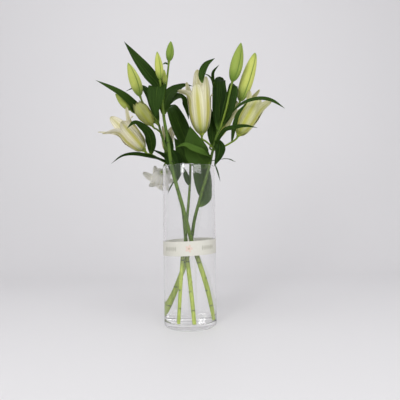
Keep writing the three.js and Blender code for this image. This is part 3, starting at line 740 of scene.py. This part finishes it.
def lathe(profile, sides):
    """Rings turned about the Z axis from points [radius, height]."""
    angle = spread_round(sides)
    r, z = np.array(profile, float).T
    x, y = np.outer(r, np.cos(angle)), np.outer(r, np.sin(angle))
    return np.stack([x, y, np.outer(z, np.ones(sides))], -1)


def arc(r, z, radius, start, end, steps):
    """Points of a round stretch about [r, z], from one angle to another."""
    turns = np.radians(np.linspace(start, end, steps + 1))
    return [[r + radius * math.cos(turn), z + radius * math.sin(turn)] for turn in turns]


def upright(radius, low, high):
    """An upright stretch of a profile, with a ring near each end so that it looks straight."""
    step = math.copysign(1, high - low)
    return [[radius, low], [radius, low + step], [radius, high - step], [radius, high]]


def aim(grid, base, tip, roll=0):
    """Places points made along +Z at base, turned by roll and pointing to tip."""
    axis = Vector(tip) - Vector(base)
    turn = Vector((0, 0, 1)).rotation_difference(axis).to_matrix()
    spin = Matrix.Rotation(math.radians(roll), 3, "Z")
    return np.asarray(grid) @ np.array(turn @ spin).T + np.array(base, float)


def sixth(grid, i):
    """Points turned about the Z axis to the place of petal or stamen number i."""
    return aim(grid, [0, 0, 0], [0, 0, 1], 360 / PETALS * i)


def length_of(shape):
    """How long a bud or bloom is."""
    return math.dist(shape["base"], shape["tip"])


def stand_of(shape):
    """The base, tip and roll of a bloom."""
    return shape["base"], shape["tip"], shape["roll"]


# -------- leaves

def leaf_outline(along, early):
    """How wide a leaf is along its length, 1 at its widest. The larger early is, the further that
    is from its foot."""
    place = LEAF["heel"] + (1 - LEAF["heel"]) * along**early
    return np.maximum(LEAF["narrowest"], np.sin(math.pi * place))


def add_leaf(body, shape, start, random):
    """A lance-shaped leaf along a spine, folded along its midrib, with gently waved edges."""
    spine = Curve([start, *shape["path"]])
    along = np.linspace(0, 1, LEAF["rows"] + 1)
    across = spread_across(LEAF["columns"])
    ahead = spine.ahead(along)
    side = unit(np.cross(ahead, shape.get("face", FRONT)))
    upper = np.cross(side, ahead)
    outline = leaf_outline(along, shape.get("early", LEAF["early"]))
    half = (shape["width"] / 2 * outline)[:, None, None]
    spread = across[None, :, None]
    fold = LEAF["fold"] * half * (np.sqrt(spread**2 + LEAF["soft_fold"]) - math.sqrt(LEAF["soft_fold"]))
    phase = random.uniform(0, 2 * math.pi) + LEAF["shift"] * (spread > 0)
    waves = np.sin(2 * math.pi * random.uniform(*LEAF["waves"]) * along[:, None, None] + phase)
    rise = LEAF["wave"] * shape["width"] * waves * np.abs(spread) ** LEAF["edge_only"] * half / half.max()
    grid = spine.at(along)[:, None] + side[:, None] * half * spread + upper[:, None] * (fold + rise)
    tone = shape.get("tone", random.uniform(0.0, LEAF["palest"]))
    body.sheet(grid, LEAF["thickness"], skin=1, along=along[:, None], across=across[None], tone=tone)


# -------- buds and blooms

def make_bud(shape, skin):
    """A closed bud with soft ribs, and a seam between them where its outer petals meet."""
    along = np.linspace(0, 1, BUD["rows"] + 1)
    angle = spread_round(BUD["sides"])
    from_seam = np.arccos(np.cos(BUD["ribs"] * angle + math.pi)) / BUD["ribs"]
    seam = np.exp(-((from_seam / BUD["seam_width"]) ** 2))
    rib = 1 + BUD["rib_rise"] * np.cos(BUD["ribs"] * angle) - BUD["seam"] * seam
    place = np.clip(along, BUD["blunt"], 1 - BUD["blunt"])
    outline = np.sin(math.pi * place ** BUD["early"]) ** shape.get("fullness", BUD["fullness"])
    radii = shape["radius"] * outline[:, None] * rib[None]
    height = np.outer(length_of(shape) * along, np.ones_like(angle))
    grid = np.stack([radii * np.cos(angle), radii * np.sin(angle), height], -1)
    body = Body()
    marks = dict(along=along[:, None], across=seam[None], turn=from_seam[None] * BUD["vein_turn"])
    body.tube(aim(grid, shape["base"], shape["tip"]), tone=shape.get("tone", 0.0), **marks)
    body.piece(shape["name"], [skin])


def petal_outline(along):
    """How wide a petal is along its length, from the claw at its foot to its blade, about 1 at its
    widest."""
    blade = np.sin(math.pi * np.minimum(along, 0.9999) ** PETAL["late"]) ** PETAL["fullness"]
    return np.maximum(PETAL["narrowest"], PETAL["claw"] * (1 - along) ** 2 + blade)


def petal_grid(shape, tip, form, random):
    """The middle surface of one petal of a trumpet that opens along +Z, as in the solids, with a
    ruffled edge and a keel."""
    length, mouth = length_of(shape), shape["mouth"]
    tip_radius, tip_reach = tip
    along = np.linspace(0, 1, PETAL["rows"] + 1)
    along = along * (1 + PETAL["crowd"] * (1 - along))
    across, row = spread_across(PETAL["columns"]), along[:, None]
    knots = [PETAL["foot"], *([out * mouth, up * length] for out, up in PETAL["spine"])]
    point, ahead = spline([*knots, [tip_radius, tip_reach * length]], along)
    radius, height = point[:, :1], point[:, 1:]
    bend = radius + PETAL["flatten"] * np.maximum(0, row - PETAL["flat_from"]) ** 2
    half = form["width"] / 2 * length * shape.get("broad", 1) * petal_outline(row)
    most = PETAL["foot_angle"] + PETAL["wrap_angle"] * np.minimum(1, PETAL["wrap_by"] * row)
    angle = np.minimum(most, half / bend) * across
    phase = 2 * math.pi * random.uniform(*PETAL["ruffles"]) * row + random.uniform(0, 6) + 2 * (across > 0)
    ruffle = PETAL["ruffle"] * half * np.abs(across) ** 3 * np.sin(phase)
    keel = PETAL["keel"] * np.exp(-((across / PETAL["keel_width"]) ** 2))
    keel = keel * np.sin(math.pi * np.minimum(1, row * 1.05))
    offset = form["offset"] * np.minimum(1, PETAL["offset_by"] * row)
    lift = bend * (np.cos(angle) - 1) + offset + PETAL["ruffle_lift"] * ruffle
    lift = lift + (keel if form["offset"] else PETAL["inner_keel"] * keel)
    out = radius + lift * ahead[:, 1:]
    up = height - lift * ahead[:, :1]
    return np.stack([out, bend * np.sin(angle), np.broadcast_to(up, out.shape)], -1), along, across


def make_bloom(shape, skin, random):
    """Three inner and three outer petals growing from a cup."""
    stand, fading = stand_of(shape), shape.get("faded", 0.0)
    foot, radius, height = CUP["foot"], CUP["radius"], CUP["height"]
    profile = [[AXIS_GAP, 0], [foot - 1, 0.2], [foot, 1.2], [radius, height], [AXIS_GAP, height + 0.4]]
    body = Body()
    body.tube(aim(lathe(profile, CUP["sides"]), *stand), tone=CUP["tone"], turn=0.5 * fading)
    for i in range(PETALS):
        form = INNER_PETAL if i % 2 else OUTER_PETAL
        tip = shape["tips"][i % len(shape["tips"])]
        grid, along, across = petal_grid(shape, tip, form, random)
        tone = shape.get("tone", 0.0) + form["tone"]
        marks = dict(along=along[:, None], across=across[None], tone=tone, turn=fading)
        body.sheet(aim(sixth(grid, i), *stand), PETAL["thickness"], **marks)
    body.piece(shape["name"], [skin])


def add_stamen(body, length, mouth, foot, i, stand):
    """A bent filament that thins towards its tip, with an anther across its end."""
    reach = (STAMEN["reach"] - STAMEN["stagger"] * (i % 2)) * length
    spread = STAMEN["spread"] * mouth
    belly = [STAMEN["belly"] * spread, 0, (foot + reach) / 2]
    filament = Curve([[STAMEN["foot"], 0, foot], belly, [spread, 0, reach]])
    shares = np.linspace(0, 1, STAMEN["rings"] + 1)
    radii = STAMEN["radius"] * (1 - STAMEN["taper"] * shares)
    rings = rings_along(filament, radii, STAMEN["sides"], shares)
    body.tube(aim(sixth(rings, i), *stand), along=shares[:, None])
    way = np.array([math.sin(ANTHER["lean"]), 0, math.cos(ANTHER["lean"])]) * ANTHER["half"]
    middle, bulge = np.array([spread, 0, reach]), np.array([ANTHER["bulge"], 0, ANTHER["bulge"]])
    anther = Curve([middle - way, middle + bulge, middle + way])
    shares = np.linspace(0, 1, ANTHER["rings"] + 1)
    radii = ANTHER["tip"] + ANTHER["radius"] * np.sin(math.pi * shares) ** ANTHER["blunt"]
    rings = rings_along(anther, radii, ANTHER["sides"], shares)
    body.tube(aim(sixth(rings, i), *stand), along=shares[:, None], tone=1.0)


def make_stamens(shape, skin):
    """The pistil with its three-lobed stigma, and six stamens."""
    length, stand = length_of(shape), stand_of(shape)
    foot = CUP["height"] + GAP
    neck, top = foot + PISTIL["ovary_length"], PISTIL["reach"] * length
    ovary, slim, stigma = PISTIL["ovary"], PISTIL["radius"], PISTIL["stigma"]
    column = lathe([
        [AXIS_GAP, foot], [ovary - 0.6, foot + 0.4], [ovary, neck - 4], [ovary - 0.5, neck],
        [slim, neck + PISTIL["neck"]], [slim, top - 7], [slim + 0.6, top - 4],
        [stigma, top - 1.5], [stigma - 0.5, top - 0.2], [AXIS_GAP, top - 0.8],
    ], PISTIL["sides"])
    angle, height = np.arctan2(column[..., 1], column[..., 0]), column[..., 2]
    lobes = 1 + PISTIL["lobe"] * np.cos(PISTIL["lobes"] * angle) * (height > top - PISTIL["lobed"])
    column[..., :2] *= lobes[..., None]
    body = Body()
    body.tube(aim(column, *stand), along=height / length)
    for i in range(PETALS):
        add_stamen(body, length, shape["mouth"], foot + STAMEN["rise"], i, stand)
    body.piece(shape["name"].replace("bloom", "stamens"), [skin])


# -------- leafy stems

def stem_scars(length, distance, angle, random):
    """How deep in a leaf scar each point of a stem is, from 0 to 1. Each scar is a short arc."""
    scar = np.zeros((len(distance), len(angle)))
    for k in range(int(length / STEM["scar_every"])):
        middle = (k + STEM["stray"] + random.uniform(0, STEM["stray"])) * STEM["scar_every"]
        turn = STEM["scar_turn"] * k + random.uniform(-STEM["stray"], STEM["stray"])
        off = np.arccos(np.cos(angle - turn))[None]
        rise = ((distance - middle)[:, None] + STEM["scar_tilt"] * np.cos(off)) / STEM["scar_height"]
        scar = np.maximum(scar, np.exp(-(rise**4)) * np.exp(-(off**4)))
    return scar


def add_stem(body, curve, radius, pale, random):
    """A round stem with small scars where its lower leaves were stripped."""
    shares = np.linspace(0, 1, STEM["steps"] + 1)
    distance = shares * curve.length
    scar = stem_scars(curve.length, distance, spread_round(STEM["sides"]), random)
    taper = 1 - STEM["shrink"] * shares**2 + STEM["sway"] * np.sin(distance / STEM["sway_length"])
    radii = radius * taper[:, None] + STEM["scar"] * scar
    rings = rings_along(curve, radii, STEM["sides"], shares)
    height = curve.at(shares)[:, 2]
    # Painted light: the stem is paler and yellower under water; its slow return to green paints the band's
    # shadow just under the band.
    wet = np.interp(height, [STEM["painted_light_below"], STEM["green_above"]], [pale, 0])
    body.tube(rings, across=scar, tone=wet[:, None])


def add_stalk(body, start, shape):
    """A flower stalk that ends square to the base of its bud or bloom, and flares towards it."""
    base = np.array(shape["base"], float)
    axis = unit(np.array(shape["tip"], float) - base)
    curve = Curve([start, *shape["via"], base - STALK["straight"] * axis, base + STALK["sunk"] * axis])
    shares = np.linspace(0, 1, STALK["steps"] + 1)
    near_end = np.exp(-(((1 - shares) * curve.length / STALK["flare_length"]) ** 2))
    rings = rings_along(curve, STALK["radius"] * (1 + STALK["flare"] * near_end), STALK["sides"], shares)
    body.tube(rings, tone=STALK["tone"])


def make_leafy_stem(stem, skins, random):
    """One cut lily without its buds and blooms. A leaf starts at its root, or else on the stem."""
    curve = Curve(stem["path"])
    body = Body()
    add_stem(body, curve, stem["radius"], stem["pale"], random)
    for shape in stem["leaves"]:
        add_leaf(body, shape, shape.get("root") or curve.at_height(shape["at"]), random)
    for shape in [*stem["buds"], *stem["blooms"]]:
        add_stalk(body, curve.at_height(shape["at"]), shape)
    body.piece(stem["name"], skins)


# -------- vase, water and band

def inside_profile(clearance, top):
    """The inside of the glass, drawn in by a clearance, from the floor's middle to a height."""
    wall = VASE["radius"] - VASE["wall"] - clearance
    floor = VASE["floor"] + clearance
    heel = VASE["heel"] - clearance
    corner = arc(wall - heel, floor + heel, heel, -90, 0, VASE["heel_steps"])
    return [[AXIS_GAP, floor], [wall - heel - 1, floor], *corner, *upright(wall, floor + heel, top)[1:]]


def make_vase(skin):
    """The glass, with an underside that is a little hollow inside the ring it stands on."""
    radius, heel, lip = VASE["radius"], VASE["heel"], VASE["wall"] / 2
    shoulder = VASE["height"] - lip
    stand = radius - heel - HOLLOW["ring"]
    slope = [[stand - inward, share * HOLLOW["depth"]] for inward, share in HOLLOW["slope"]]
    under = [[AXIS_GAP, HOLLOW["depth"]], *slope, [stand, 0]]
    foot = arc(radius - heel, heel, heel, -90, 0, VASE["heel_steps"])
    outside = upright(radius, heel, shoulder)[1:-1]
    rim = arc(radius - lip, shoulder, lip, 0, 180, VASE["lip_steps"])
    inside = inside_profile(0, shoulder)[::-1][1:]
    body = Body()
    body.tube(lathe([*under, *foot, *outside, *rim, *inside], VASE["sides"]))
    body.piece("vase", [skin])


def make_water(skin):
    """Water that wets the glass, so that light goes straight from one to the other, and that
    climbs it a little at its edge."""
    wall = VASE["radius"] - VASE["wall"] + WATER["overlap"]
    level, dip = WATER["level"], WATER["meniscus"]
    climb = np.linspace(1, 0, WATER["climb_steps"] + 1)
    surface = [[wall - WATER["climb"] * (1 - c), level - dip * (1 - c**3)] for c in climb]
    profile = [*inside_profile(-WATER["overlap"], level)[:-1], *surface, [AXIS_GAP, level - dip]]
    body = Body()
    body.tube(lathe(profile, VASE["sides"]))
    body.piece("water", [skin])


def make_band(skin):
    """A ring of paper that sits a little askew on the glass."""
    inner = VASE["radius"] + GAP
    outer = inner + BAND["thickness"]
    low, high, sides = BAND["low"], BAND["low"] + BAND["height"], VASE["sides"]
    section = [[inner, low], [outer, low], [outer, high], [inner, high], [inner, low]]
    ring = lathe(section, sides)
    ring[..., 2] += BAND["rise"] * ring[..., 0]
    turn = spread_round(sides) + math.pi / 2
    turn = (turn + math.pi) % (2 * math.pi) - math.pi
    rise = np.array(section)[:, 1] - (low + high) / 2
    body = Body()
    body.add(ring, ring_faces(len(section) - 1, sides), turn=outer * turn[None], across=rise[:, None])
    body.piece("band", [skin], smooth=False)


# -------- assembly

camera()
world()
lights()
backdrop()

random = np.random.default_rng(7)
make_vase(clear_material("clear_glass", 1.5, (1, 1, 1, 1)))
make_water(clear_material("still_water", 1.33, (1, 1, 0.995, 1)))
make_band(paper_material())
green = [stem_material(), leaf_material()]
bud_skin, petal_skin, stamen_skin = bud_material(), petal_material(), stamen_material()
for stem in BOUQUET:
    make_leafy_stem(stem, green, random)
    for shape in stem["buds"]:
        make_bud(shape, bud_skin)
    for shape in stem["blooms"]:
        make_bloom(shape, petal_skin, random)
        if shape.get("open"):
            make_stamens(shape, stamen_skin)
